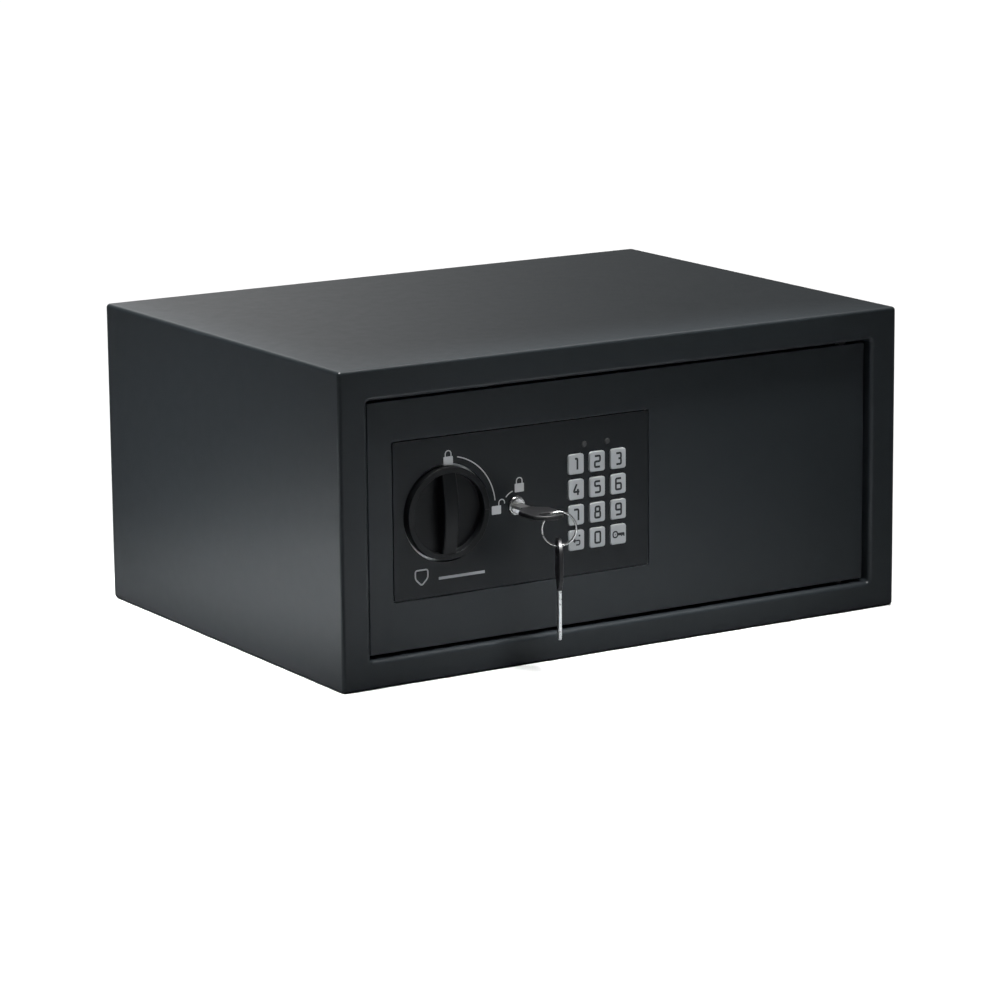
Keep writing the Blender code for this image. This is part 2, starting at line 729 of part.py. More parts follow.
def carriage():
    """The sliding plate that the crank moves, with its folded tab and its two bolts."""
    slot = CRANK_PIN_RADIUS + 0.7 * MM
    pin_x = KNOB_X + BOLT_TRAVEL / 2
    left, right = KNOB_X - SCREW_ROOM, KNOB_X + BOLT_TRAVEL + SCREW_ROOM
    low, high = KNOB_Z - SCREW_ROOM, KNOB_Z + SCREW_ROOM
    slot_top = KNOB_Z + CRANK_RADIUS + CRANK_PIN_RADIUS + 1 * MM
    window = [
        (left, low), (right, low), (right, high), (pin_x + slot, high), (pin_x + slot, slot_top),
        (pin_x - slot, slot_top), (pin_x - slot, high), (left, high),
    ]
    body_right = KNOB_X + 23 * MM
    arm_low, arm_high = LOCK_Z + 11 * MM, LOCK_Z + 20 * MM
    bottom, top = BOLT_Z[0] - 10 * MM, BOLT_Z[1] + 10 * MM
    outline = [
        (CARRIAGE_LEFT, bottom), (KNOB_X - 10 * MM, bottom), (body_right, low - 12 * MM),
        (body_right, arm_low), (CARRIAGE_RIGHT, arm_low), (CARRIAGE_RIGHT, arm_high),
        (body_right, arm_high), (KNOB_X - 10 * MM, top), (CARRIAGE_LEFT, top),
    ]
    back = CARRIAGE_FRONT + CARRIAGE_SHEET
    sheet = add(as_mesh(plate([outline, window], CARRIAGE_FRONT, back)), "carriage", ZINC_STEEL)
    tab_back = BOLT_Y + BOLT_RADIUS + 2 * MM
    tab = box(
        (CARRIAGE_LEFT, CARRIAGE_FRONT, bottom), (CARRIAGE_LEFT + CARRIAGE_SHEET, tab_back, top)
    )
    join(sheet, tab)
    for name, z in zip(("bolt_lower", "bolt_upper"), BOLT_Z):
        end = CARRIAGE_LEFT - AIR
        bolt = add(
            rod((end, BOLT_Y, z), (BOLT_END_X, BOLT_Y, z), BOLT_RADIUS, sides=32), name,
            BRIGHT_STEEL,
        )
        round_edges(bolt, 0.8 * MM)


def bolt_guide():
    """The bracket that both bolts slide through, welded to the mounting plate."""
    wide = BOLT_RADIUS + 2.5 * MM
    outline = rounded(
        MOUNT_BACK + AIR, BOLT_Z[0] - wide, BOLT_Y + wide, BOLT_Z[1] + wide, 2 * MM, steps=3
    )
    holes = [circle(BOLT_Y, z, BOLT_RADIUS + AIR, steps=32) for z in BOLT_Z]
    right = BOLT_END_X + 9 * MM
    guide = plate([outline, *holes], right - 2 * MM, right, "side")
    add(guide, "bolt_guide", ZINC_STEEL)


def solenoid():
    """The coil that blocks the carriage, its plunger and the plunger's spring."""
    y = CARRIAGE_FRONT + CARRIAGE_SHEET / 2
    foot = LOCK_Z + 20 * MM + 0.4 * MM
    collar = foot + 3 * MM
    bottom, top = collar + 8 * MM, collar + 27 * MM
    half = 9 * MM
    square = rounded(SOLENOID_X - half, y - half, SOLENOID_X + half, y + half, 1 * MM, steps=1)
    bore = circle(SOLENOID_X, y, PLUNGER_RADIUS + AIR, steps=24)
    add(plate([square, bore], bottom, top, "up"), "solenoid", ZINC_STEEL)
    plunger = rod((SOLENOID_X, y, foot), (SOLENOID_X, y, top + 3 * MM), PLUNGER_RADIUS, sides=24)
    add(plunger, "solenoid_plunger", BRIGHT_STEEL)
    join(plunger, rod((SOLENOID_X, y, collar - 1.4 * MM), (SOLENOID_X, y, collar), 5.2 * MM,
                      sides=24))
    wire = 0.4 * MM
    low, high = collar + AIR + wire, bottom - AIR - wire
    turns, per_turn = 5, 10
    points = []
    for step in range(turns * per_turn + 1):
        angle = 2 * pi * step / per_turn
        rise = low + (high - low) * step / (turns * per_turn)
        points.append((SOLENOID_X + 4 * MM * cos(angle), y + 4 * MM * sin(angle), rise))
    add(wire_curve(points, wire, closed=False), "plunger_spring", BRIGHT_STEEL)


def wire_curve(points, radius, closed, resolution=1):
    curve = bpy.data.curves.new("wire", "CURVE")
    curve.dimensions = "3D"
    curve.bevel_depth = radius
    curve.bevel_resolution = resolution
    curve.use_fill_caps = not closed
    spline = curve.splines.new("POLY")
    spline.points.add(len(points) - 1)
    for point, place in zip(spline.points, points):
        point.co = (*place, 1)
    spline.use_cyclic_u = closed
    return bpy.data.objects.new("wire", curve)


# ---------------------------------------------------------------- emergency lock and keys

def lock():
    """The lock's barrel with its collar, the nut behind the plate, the plug and its cam."""
    collar_back = FASCIA_FRONT + FASCIA_WALL
    bore = LOCK_PLUG_RADIUS + AIR
    back = LOCK_FRONT + LOCK_LENGTH
    profile = [
        (bore, LOCK_FRONT), (LOCK_FACE_RADIUS - 0.4 * MM, LOCK_FRONT),
        (LOCK_FACE_RADIUS, LOCK_FRONT + 0.4 * MM), (LOCK_FACE_RADIUS, collar_back),
        (LOCK_FACE_RADIUS, back), (bore, back), (bore, LOCK_FRONT),
    ]
    smooth(add(turned(profile, (LOCK_X, 0, LOCK_Z), sides=40), "lock_barrel", BRIGHT_STEEL))
    hexagon = circle(LOCK_X, LOCK_Z, 10.5 * MM, steps=6)
    hole = circle(LOCK_X, LOCK_Z, LOCK_FACE_RADIUS + AIR, steps=24)
    nut_front = MOUNT_BACK + AIR
    add(plate([hexagon, hole], nut_front, nut_front + 4 * MM), "lock_nut", ZINC_STEEL)
    keyway = rounded(
        LOCK_X - KEYWAY_WIDTH / 2, LOCK_Z - KEYWAY_HEIGHT / 2,
        LOCK_X + KEYWAY_WIDTH / 2, LOCK_Z + KEYWAY_HEIGHT / 2, 0.4 * MM, steps=1,
    )
    face = circle(LOCK_X, LOCK_Z, LOCK_PLUG_RADIUS, steps=40)
    origin = (LOCK_X, LOCK_Z)
    plug = as_mesh(plate([face], LOCK_FRONT - PLUG_PROUD, back + 2 * MM, origin=origin))
    add(plug, "lock_plug", BRIGHT_STEEL)
    cut(plug, as_mesh(plate([keyway], LOCK_FRONT - 1 * MM, shoulder_y() + BLADE_LENGTH + 0.6 * MM)))
    cam_front = back + 2 * MM + AIR
    tip = radians(155)
    reach = 17 * MM
    arm = link_outline(
        LOCK_X, LOCK_Z, 6 * MM, LOCK_X + reach * cos(tip), LOCK_Z + reach * sin(tip), 3.2 * MM
    )
    add(plate([arm], cam_front, cam_front + 2 * MM, origin=origin), "lock_cam", ZINC_STEEL)


def shoulder_y():
    """Where the blade of the key in the lock meets its bow."""
    return LOCK_FRONT - PLUG_PROUD - NECK_LENGTH


def bow_outline():
    """The bow seen flat, as (across, along) from its shoulder, with a round far end."""
    half = BOW_WIDTH / 2
    neck = 5 * MM
    shoulder = 8 * MM
    left = [(-neck, 0), (-neck, 2 * MM), (-half + 2 * MM, shoulder - 2 * MM), (-half, shoulder)]
    corner = BOW_LENGTH - 11 * MM
    end = []
    for step in range(11):
        angle = pi - pi * step / 10
        end.append((half * cos(angle), corner + (BOW_LENGTH - corner) * sin(angle)))
    right = [(-x, along) for x, along in reversed(left)]
    return left + end + right


def blade_outline():
    """The blade seen flat, as (across, along) back from the bow, with a pointed tip."""
    half = BLADE_WIDTH / 2
    return [
        (-half, AIR), (-half, BLADE_LENGTH - 4 * MM), (-1 * MM, BLADE_LENGTH),
        (1 * MM, BLADE_LENGTH), (half, BLADE_LENGTH - 4 * MM), (half, AIR),
    ]


def key_pair(names, shoulder, turn, origin):
    """A blade and a bow, laid flat with the bow towards -Y, then turned and moved into place."""
    bow_name, blade_name = names
    across = BOW_HOLE_WIDTH / 2
    hole = rounded(
        -across, BOW_HOLE_ALONG - BOW_HOLE_RADIUS, across, BOW_HOLE_ALONG + BOW_HOLE_RADIUS,
        BOW_HOLE_RADIUS, steps=5,
    )
    flat_bow = [[(x, -along) for x, along in points] for points in (bow_outline(), hole)]
    half = BOW_THICKNESS / 2
    bow = round_edges(plate(flat_bow, -half, half, "up"), 0.6 * MM, segments=2)
    half = BLADE_THICKNESS / 2
    blade = plate([blade_outline()], -half, half, "up")
    for obj, name, look in ((bow, bow_name, BLACK_PLASTIC), (blade, blade_name, BRIGHT_STEEL)):
        add(obj, name, look)
        obj.matrix_world = Matrix.Translation(shoulder) @ turn
        shift_origin(obj, origin)


def shift_origin(obj, origin):
    """Moves a curve's origin to a point, leaving its shape where it is."""
    local = obj.matrix_world.inverted() @ Vector(origin)
    obj.data.transform(Matrix.Translation(-local))
    obj.matrix_world = obj.matrix_world @ Matrix.Translation(local)


def hold_point():
    """The middle of the hole in the lock key's bow, where the ring goes through."""
    return Vector((LOCK_X, shoulder_y() - BOW_HOLE_ALONG, LOCK_Z))


def ring_sideways():
    """The level direction in the ring's plane."""
    return Vector((cos(RING_TURN), -sin(RING_TURN), 0))


def ring_middle():
    side = ring_sideways()
    return hold_point() - RING_RADIUS * (cos(RING_HOLD) * side + Vector((0, 0, sin(RING_HOLD))))


def key_ring():
    """The round wire ring, through both keys."""
    side, middle, steps = ring_sideways(), ring_middle(), 40
    points = []
    for step in range(steps):
        angle = 2 * pi * step / steps
        place = middle + RING_RADIUS * (cos(angle) * side + Vector((0, 0, sin(angle))))
        points.append(place - hold_point())
    ring = add(wire_curve(points, RING_WIRE, closed=True, resolution=2), "key_ring", BRIGHT_STEEL)
    ring.location = hold_point()


def keys():
    """The key in the lock, lying flat, and the spare that hangs from the ring."""
    shoulder = Vector((LOCK_X, shoulder_y(), LOCK_Z))
    key_pair(("key_bow", "key_blade"), shoulder, Matrix.Identity(4), (LOCK_X, 0, LOCK_Z))
    low_wire = ring_middle() - Vector((0, 0, RING_RADIUS))
    hang = BOW_HOLE_RADIUS - RING_WIRE - AIR
    spare_shoulder = low_wire - Vector((0, 0, BOW_HOLE_ALONG + hang))
    side = ring_sideways()
    face = side.cross(Vector((0, 0, 1)))
    turn = Matrix((
        (face.x, 0, side.x, 0),
        (face.y, 0, side.y, 0),
        (face.z, -1, side.z, 0),
        (0, 0, 0, 1),
    ))
    key_pair(("spare_key_bow", "spare_key_blade"), spare_shoulder, turn, low_wire)


# ---------------------------------------------------------------- inside cover, power

def lock_cover():
    """The cover on the inside of the door, with holes for the bolts and the battery window."""
    wall, past = COVER_SHEET, 1 * MM
    rim = DOOR_BACK + AIR
    start = rim - 2 * COVER_BEND
    deep = COVER_BACK - 4 * MM
    shell = box((COVER_LEFT, start, COVER_BOTTOM), (COVER_RIGHT, COVER_BACK, COVER_TOP))
    add(round_edges(shell, COVER_BEND, segments=3), "lock_cover", POWDER_COAT)
    mouth = box(
        (COVER_LEFT - past, start - past, COVER_BOTTOM - past),
        (COVER_RIGHT + past, rim, COVER_TOP + past),
    )
    hollow = box(
        (COVER_LEFT + wall, start, COVER_BOTTOM + wall),
        (COVER_RIGHT - wall, COVER_BACK - wall, COVER_TOP - wall),
    )
    round_edges(hollow, COVER_BEND - wall, segments=2)
    across, up = battery_window()
    window = box(
        (BATTERY_MIDDLE_X - across, deep, BATTERY_MIDDLE_Z - up),
        (BATTERY_MIDDLE_X + across, COVER_BACK + past, BATTERY_MIDDLE_Z + up),
    )
    bolt_holes = [
        rod((COVER_LEFT - past, BOLT_Y, z), (COVER_LEFT + 4 * MM, BOLT_Y, z), BOLT_RADIUS + past / 2)
        for z in BOLT_Z
    ]
    screw_holes = [
        rod((x, deep, z), (x, COVER_BACK + past, z), SCREW_RADIUS + AIR, sides=12)
        for x, z in cover_posts()
    ]
    reset_hole = rod(
        (RESET_X, deep, RESET_Z), (RESET_X, COVER_BACK + past, RESET_Z), RESET_RADIUS + 0.4 * MM,
        sides=20,
    )
    cut(shell, mouth, hollow, window, *bolt_holes, *screw_holes, reset_hole)


def battery_window():
    """Half the width and half the height of the hole over the batteries."""
    return 2 * BATTERY_PITCH + 1 * MM, BATTERY_LENGTH / 2 + 2 * MM


def cover_screws():
    for number, (x, z) in enumerate(cover_posts(), 1):
        face = COVER_BACK + AIR
        profile = [
            (0, face + 2 * MM), (2.4 * MM, face + 2 * MM), (3.4 * MM, face + 1.2 * MM),
            (3.4 * MM, face), (SCREW_RADIUS, face), (SCREW_RADIUS, face - SCREW_LENGTH),
            (0, face - SCREW_LENGTH),
        ]
        screw = turned(profile[::-1], (x, 0, z), sides=20)
        smooth(add(screw, f"cover_screw_{number}", ZINC_STEEL))


def power():
    """The battery tray with its four cells, and the lid that slides over them."""
    across, up = battery_window()
    wall = 1.5 * MM
    back = COVER_BACK - COVER_SHEET - AIR
    front = back - 2 * BATTERY_RADIUS - wall - 1 * MM
    tray = box(
        (BATTERY_MIDDLE_X - across - wall, front, BATTERY_MIDDLE_Z - up - wall),
        (BATTERY_MIDDLE_X + across + wall, back, BATTERY_MIDDLE_Z + up + wall),
    )
    add(tray, "battery_tray", BLACK_PLASTIC)
    cut(tray, box(
        (BATTERY_MIDDLE_X - across, front + wall, BATTERY_MIDDLE_Z - up),
        (BATTERY_MIDDLE_X + across, back + 1 * MM, BATTERY_MIDDLE_Z + up),
    ))
    y = back - BATTERY_RADIUS - 0.4 * MM
    for number in range(4):
        x = BATTERY_MIDDLE_X + (number - 1.5) * BATTERY_PITCH
        battery(f"battery_{number + 1}", x, y, 1 if number % 2 else -1)
    face = COVER_BACK + AIR
    margin = 3 * MM
    outline = rounded(
        BATTERY_MIDDLE_X - across - margin, BATTERY_MIDDLE_Z - up - margin,
        BATTERY_MIDDLE_X + across + margin, BATTERY_MIDDLE_Z + up + margin, 2 * MM, steps=3,
    )
    middle = (BATTERY_MIDDLE_X, BATTERY_MIDDLE_Z)
    add(plate([outline], face, face + LID_THICKNESS, origin=middle), "battery_cover",
        BLACK_PLASTIC)


def battery(name, x, y, up):
    """One AA cell, standing, with its contact nub at the end that up points to."""
    half = BATTERY_LENGTH / 2
    radius = BATTERY_RADIUS
    profile = [
        (0, -half), (2.7 * MM, -half), (2.7 * MM, 1.2 * MM - half), (radius - 0.6 * MM, 1.2 * MM - half),
        (radius, 1.8 * MM - half), (radius, half - 0.6 * MM), (radius - 0.6 * MM, half), (0, half),
    ]
    cell = turned(profile, (x, y, BATTERY_MIDDLE_Z), sides=20)
    cell.rotation_euler = (0, 0, 0) if up > 0 else (pi, 0, 0)
    smooth(add(cell, name, BATTERY_WRAP))


def reset_button():
    """The button inside the door that starts the setting of a new code."""
    face = COVER_BACK
    profile = [
        (0, face - 6 * MM), (4.2 * MM, face - 6 * MM), (4.2 * MM, face - 4.6 * MM),
        (RESET_RADIUS, face - 4.6 * MM), (RESET_RADIUS, face + 1.6 * MM),
        (RESET_RADIUS - 0.4 * MM, face + 2 * MM), (0, face + 2 * MM),
    ]
    smooth(add(turned(profile, (RESET_X, 0, RESET_Z), sides=20), "reset_button", RED_PLASTIC))


clear_scene()
PARTS = collection("in_room_safe")
CUTTERS = collection("cutters")
body_shell()
front_frame()
back_panel()
floor_mat()
hinge_pins()
door_plate()
hinge_tubes()
mount_plate()
fascia()
keypad()
keypad_back()
leds()
knob()
knob_drive()
carriage()
bolt_guide()
solenoid()
lock()
keys()
key_ring()
lock_cover()
cover_screws()
power()
reset_button()
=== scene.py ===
import json
from math import cos, pi, radians, sin

import bmesh
import bpy
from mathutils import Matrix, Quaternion, Vector

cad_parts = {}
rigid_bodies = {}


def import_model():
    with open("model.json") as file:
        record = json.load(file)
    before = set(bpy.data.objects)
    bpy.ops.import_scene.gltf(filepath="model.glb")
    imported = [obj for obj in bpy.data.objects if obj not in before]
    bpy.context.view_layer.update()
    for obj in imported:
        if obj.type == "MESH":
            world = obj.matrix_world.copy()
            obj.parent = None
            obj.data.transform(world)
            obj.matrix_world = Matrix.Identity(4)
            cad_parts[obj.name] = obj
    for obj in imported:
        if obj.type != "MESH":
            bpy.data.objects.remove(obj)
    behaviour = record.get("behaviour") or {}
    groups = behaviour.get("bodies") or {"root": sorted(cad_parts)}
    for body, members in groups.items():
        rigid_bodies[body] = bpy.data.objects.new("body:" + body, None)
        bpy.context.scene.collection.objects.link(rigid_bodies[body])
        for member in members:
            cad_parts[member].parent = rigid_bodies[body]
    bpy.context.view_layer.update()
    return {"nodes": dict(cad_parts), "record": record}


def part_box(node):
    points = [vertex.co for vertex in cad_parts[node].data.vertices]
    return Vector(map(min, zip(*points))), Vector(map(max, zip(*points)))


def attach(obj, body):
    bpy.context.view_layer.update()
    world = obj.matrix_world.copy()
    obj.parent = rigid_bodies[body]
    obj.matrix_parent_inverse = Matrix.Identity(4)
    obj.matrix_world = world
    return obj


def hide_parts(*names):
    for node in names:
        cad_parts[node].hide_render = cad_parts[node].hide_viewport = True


# The looks of an in-room safe: its powder-coated case, dished knob, keypad, lock and keys.
# Metres, +Z up. Places come from the boxes of the frame's nodes.

for startup in list(bpy.data.objects):
    bpy.data.objects.remove(startup)
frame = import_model()

MM = 0.001

# Gaps between the door leaf and the opening round it
GAP_LEFT, GAP_RIGHT, GAP_BELOW, GAP_ABOVE = 2 * MM, 2.5 * MM, 2.2 * MM, 2 * MM
SHEET = 2 * MM
BODY_CORNER = 2.5 * MM
LIP_BEND = 3 * MM
LIP_CORNER = 2 * MM
MAT_DIP = 0.4 * MM  # how far the mat stays inside its box, above and below
ANCHOR_X, ANCHOR_Y, ANCHOR_RADIUS = 100 * MM, 40 * MM, 5 * MM

# Knob
KNOB_RIM = 4 * MM
KNOB_CROWN = 3.5 * MM
KNOB_RECESS = 5.4 * MM
KNOB_BOSS_LENGTH = 3.2 * MM
KNOB_BOSS_RADIUS = 7 * MM
GRIP_WIDTH = 10.4 * MM

# Prints
INK = 0.05 * MM  # how far a print stands out
SHIELD_X, SHIELD_Z = -154 * MM, 66.5 * MM
SHIELD_REACH = (4.6 * MM, 4.8 * MM)
BAR_X, BAR_Z = (-141.4 * MM, -107.2 * MM), (63.4 * MM, 65.2 * MM)
PADLOCK = (6.9 * MM, 5.6 * MM)
KNOB_ARC, LOCK_ARC = 36.2 * MM, 10 * MM
DIGIT_REACH = (2.35 * MM, 3.6 * MM)
DIGIT_STROKE = 1.4 * MM
PRINT_STROKE = 0.7 * MM

# Key caps, and the wire of the ring
CAP_INSET, CAP_FLANGE = 1.1 * MM, 0.7 * MM
CAP_CORNER, CAP_EDGE = 1.6 * MM, 0.4 * MM
RING_WIRE = 0.7 * MM

# Studio
BOUNCE = (0.115, 0.12, 0.125)  # the floor's grey as it lights the safe, so that its sides stay dark
SKY_POWER, SKY_ANGLE = 3.9, radians(40)
LAMP_SPREAD = radians(28)
WORLD_STRENGTH = 0.035
AZIMUTH, ELEVATION, ROLL = radians(-31.877), radians(12.118), radians(-0.524)
DISTANCE = 2.8211
TARGET = Vector((-0.33, 0, 70.83)) * MM
FOCAL_LENGTH, SENSOR_WIDTH = 149.28, 36


# ---------------------------------------------------------------- finishes

class Wire:
    """A shader value. Arithmetic on it adds the Math nodes."""

    def __init__(self, finish, socket):
        self.finish, self.socket = finish, socket

    def _math(self, operation, first, second):
        return self.finish.node("ShaderNodeMath", {"operation": operation}, {0: first, 1: second})

    def __add__(self, other):
        return self._math("ADD", self, other)

    __radd__ = __add__

    def __sub__(self, other):
        return self._math("SUBTRACT", self, other)

    def __rsub__(self, other):
        return self._math("SUBTRACT", other, self)

    def __mul__(self, other):
        return self._math("MULTIPLY", self, other)

    __rmul__ = __mul__

    def __gt__(self, other):
        return self._math("GREATER_THAN", self, other)


class Finish:
    """A procedural material on one Principled shader."""

    def __init__(self, name, metallic=0.0, **constants):
        self.material = bpy.data.materials.new(name)
        self.material.use_nodes = True
        self.tree = self.material.node_tree
        self.shader = self.tree.nodes["Principled BSDF"]
        self.shader.inputs["Metallic"].default_value = metallic
        for socket, value in constants.items():
            self.shader.inputs[socket.replace("_", " ")].default_value = value

    def node(self, kind, settings=None, values=None, output=0):
        made = self.tree.nodes.new(kind)
        for key, value in (settings or {}).items():
            setattr(made, key, value)
        for key, value in (values or {}).items():
            self.feed(made.inputs[key], value)
        return Wire(self, made.outputs[output])

    def feed(self, socket, value):
        if isinstance(value, Wire):
            self.tree.links.new(value.socket, socket)
        else:
            socket.default_value = value

    def place(self):
        return self.node("ShaderNodeTexCoord", output=3)

    def height_above(self):
        """The Z of a point on the piece."""
        return self.node("ShaderNodeSeparateXYZ", values={0: self.place()}, output=2)

    def noise(self, size, detail=3.0, stretch=(1, 1, 1)):
        """Noise from 0 to 1 whose features are about that size, in metres."""
        spot = self.node(
            "ShaderNodeVectorMath", {"operation": "MULTIPLY"},
            {0: self.place(), 1: tuple(each / size for each in stretch)},
        )
        return self.node(
            "ShaderNodeTexNoise", None, {"Vector": spot, "Scale": 1.0, "Detail": detail}
        )

    def grains(self, size):
        spot = self.node(
            "ShaderNodeVectorMath", {"operation": "MULTIPLY"}, {0: self.place(), 1: (1 / size,) * 3}
        )
        return self.node("ShaderNodeTexVoronoi", None, {"Vector": spot, "Scale": 1.0})

    def mix(self, share, first, second):
        """Between two colours."""
        ends = [each if isinstance(each, Wire) else (*each, 1.0) for each in (first, second)]
        return self.node(
            "ShaderNodeMix", {"data_type": "RGBA"}, {0: share, 6: ends[0], 7: ends[1]}, output=2
        )

    def bump(self, height, depth):
        normal = self.node("ShaderNodeBump", None, {"Distance": depth, "Height": height})
        self.feed(self.shader.inputs["Normal"], normal)

    def coat(self, colour, roughness):
        self.feed(self.shader.inputs["Base Color"], colour)
        self.feed(self.shader.inputs["Roughness"], roughness)
        return self.material


def powder_coat():
    """Anthracite powder coat: fine orange peel, with faint cloudiness."""
    made = Finish("powder_coat", Specular_IOR_Level=0.35)
    peel = made.noise(0.9 * MM, 2.0)
    cloud = made.noise(60 * MM)
    rub = made.noise(9 * MM, 4.0)
    made.bump(peel, 0.045 * MM)
    tone = made.mix(cloud * 0.6 + peel * 0.4, (0.0150, 0.0188, 0.0215), (0.0205, 0.0248, 0.0280))
    return made.coat(tone, 0.28 + 0.10 * peel + 0.08 * rub)


def moulded(name, dark, light, roughness, grain=0.5 * MM, depth=0.02 * MM, specular=0.4):
    """A plastic moulding with a fine eroded grain and slight handling marks."""
    made = Finish(name, Specular_IOR_Level=specular)
    eroded = made.noise(grain, 2.0)
    handled = made.noise(14 * MM, 4.0)
    made.bump(eroded, depth)
    return made.coat(made.mix(handled, dark, light), roughness + 0.12 * handled + 0.05 * eroded)


def plated(name, dark, light, roughness, size=6 * MM):
    """A plated metal with cloudy spangle and fine scratches."""
    made = Finish(name, metallic=1.0)
    spangle = made.noise(size, 4.0)
    scratches = made.noise(0.5 * MM, 3.0, (1, 1, 9))
    made.bump(scratches, 0.008 * MM)
    return made.coat(made.mix(spangle, dark, light), roughness + 0.14 * spangle + 0.06 * scratches)


def felt():
    """Needled felt: tangled fibres, with painted shade darkening the hollows between them."""
    made = Finish("felt", Sheen_Weight=0.35, Sheen_Roughness=0.6)
    along = made.noise(0.8 * MM, 4.0, (1, 5, 1))
    across = made.noise(0.8 * MM, 4.0, (5, 1, 1))
    fibres = along * 0.5 + across * 0.5
    made.bump(fibres + made.noise(7 * MM) * 0.6, 0.5 * MM)
    # Painted shade: the fibre heights that raise the bump also darken the colour in the hollows.
    tone = made.mix(fibres, (0.045, 0.045, 0.050), (0.150, 0.150, 0.160))
    return made.coat(tone, 0.9 + 0.1 * fibres)


def circuit_green():
    made = Finish("circuit_green")
    tracks = made.grains(3 * MM) > 0.42
    made.bump(tracks, 0.03 * MM)
    tone = made.mix(tracks, (0.010, 0.090, 0.035), (0.030, 0.170, 0.070))
    return made.coat(tone, 0.3 + 0.2 * tracks)


def battery_wrap():
    """Two-tone shrink wrap, black below and copper above, by the height on the first cell."""
    low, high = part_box("battery_1")
    made = Finish("battery_wrap", Coat_Weight=0.4)
    upper = made.height_above() > low.z + (high.z - low.z) * 0.68
    scuffs = made.noise(5 * MM, 4.0)
    made.bump(scuffs, 0.01 * MM)
    return made.coat(
        made.mix(upper, (0.022, 0.022, 0.026), (0.46, 0.20, 0.08)), 0.22 + 0.2 * scuffs
    )


POWDER = powder_coat()
FASCIA = moulded(
    "fascia_plastic", (0.0048, 0.0066, 0.0082), (0.0070, 0.0092, 0.0108), 0.34, specular=0.32
)
KNOB = moulded(
    "knob_plastic", (0.0030, 0.0036, 0.0042), (0.0050, 0.0058, 0.0066), 0.32, specular=0.25
)
KEY_HEAD = moulded("key_head_plastic", (0.0065, 0.0065, 0.0070), (0.0105, 0.0105, 0.0115), 0.30)
KEY_CAP = moulded("key_cap_plastic", (0.44, 0.455, 0.465), (0.49, 0.505, 0.515), 0.44)
INK_LIGHT = moulded("light_ink", (0.50, 0.51, 0.52), (0.56, 0.57, 0.58), 0.5, depth=0.006 * MM)
INK_DARK = moulded("dark_ink", (0.014, 0.016, 0.018), (0.022, 0.024, 0.027), 0.5, depth=0.006 * MM)
LENS = moulded("lamp_lens", (0.050, 0.052, 0.052), (0.075, 0.078, 0.078), 0.12, depth=0.004 * MM)
RED = moulded("red_plastic", (0.36, 0.018, 0.012), (0.46, 0.030, 0.020), 0.34)
RUBBER = moulded(
    "grey_rubber", (0.075, 0.075, 0.078), (0.11, 0.11, 0.115), 0.7, 0.9 * MM, 0.03 * MM
)
NICKEL = plated("nickel_plate", (0.62, 0.62, 0.61), (0.78, 0.78, 0.77), 0.12, 3 * MM)
ZINC = plated("zinc_plate", (0.44, 0.45, 0.46), (0.62, 0.63, 0.62), 0.32)
BLADE = plated("blade_steel", (0.66, 0.66, 0.65), (0.80, 0.80, 0.79), 0.20, 2 * MM)
FELT = felt()
BOARD = circuit_green()
WRAP = battery_wrap()


# ---------------------------------------------------------------- modelling by operators

def only(obj):
    if bpy.context.mode != "OBJECT":
        bpy.ops.object.mode_set(mode="OBJECT")
    bpy.ops.object.select_all(action="DESELECT")
    obj.select_set(True)
    bpy.context.view_layer.objects.active = obj


def settled(obj):
    """Puts the object at the origin, with its place in its mesh."""
    only(obj)
    bpy.ops.object.transform_apply(location=True, rotation=True, scale=True)
    return obj


def block(low, high):
    low, high = Vector(low), Vector(high)
    bpy.ops.mesh.primitive_cube_add(size=1, location=(low + high) / 2, scale=high - low)
    return settled(bpy.context.object)


def drum(centre, radius, front, back, sides):
    """A cylinder about Y."""
    bpy.ops.mesh.primitive_cylinder_add(
        vertices=sides, radius=radius, depth=back - front,
        location=(centre[0], (front + back) / 2, centre[1]), rotation=(pi / 2, 0, 0),
    )
    return settled(bpy.context.object)


def pick(obj, kind, test):
    """Selects faces by (middle, normal), edges by (middle, direction) or corners by (place)."""
    only(obj)
    bpy.ops.object.mode_set(mode="EDIT")
    bpy.ops.mesh.select_mode(type=kind)
    bpy.ops.mesh.select_all(action="DESELECT")
    shape = bmesh.from_edit_mesh(obj.data)
    if kind == "FACE":
        for face in shape.faces:
            face.select_set(test(face.calc_center_median(), face.normal))
    elif kind == "EDGE":
        for edge in shape.edges:
            first, last = (corner.co for corner in edge.verts)
            edge.select_set(test((first + last) / 2, (last - first).normalized()))
    else:
        for corner in shape.verts:
            corner.select_set(test(corner.co))
    shape.select_flush_mode()
    bmesh.update_edit_mesh(obj.data)


def leave():
    bpy.ops.object.mode_set(mode="OBJECT")


def apply(obj, kind, **settings):
    only(obj)
    made = obj.modifiers.new(kind.lower(), kind)
    for key, value in settings.items():
        setattr(made, key, value)
    bpy.ops.object.modifier_apply(modifier=made.name)
    return obj


def soften(obj, width, segments=3, angle=35):
    return apply(
        obj, "BEVEL", width=width, segments=segments, limit_method="ANGLE",
        angle_limit=radians(angle), use_clamp_overlap=True,
    )


def combine(obj, tool, operation):
    apply(obj, "BOOLEAN", operation=operation, object=tool, solver="EXACT")
    bpy.data.objects.remove(tool)


def piece(obj, name, body, look, replaced=(), angle=35):
    """Names a finished piece, gives it its finish and puts it on its body."""
    obj.name = obj.data.name = name
    obj.data.materials.clear()
    obj.data.materials.append(look)
    only(obj)
    bpy.ops.object.shade_smooth_by_angle(angle=radians(angle))
    apply(obj, "WEIGHTED_NORMAL", keep_sharp=True)
    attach(obj, body)
    if replaced:
        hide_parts(*replaced)


def copied(obj):
    made = bpy.data.objects.new(obj.name, obj.data.copy())
    bpy.context.scene.collection.objects.link(made)
    return made


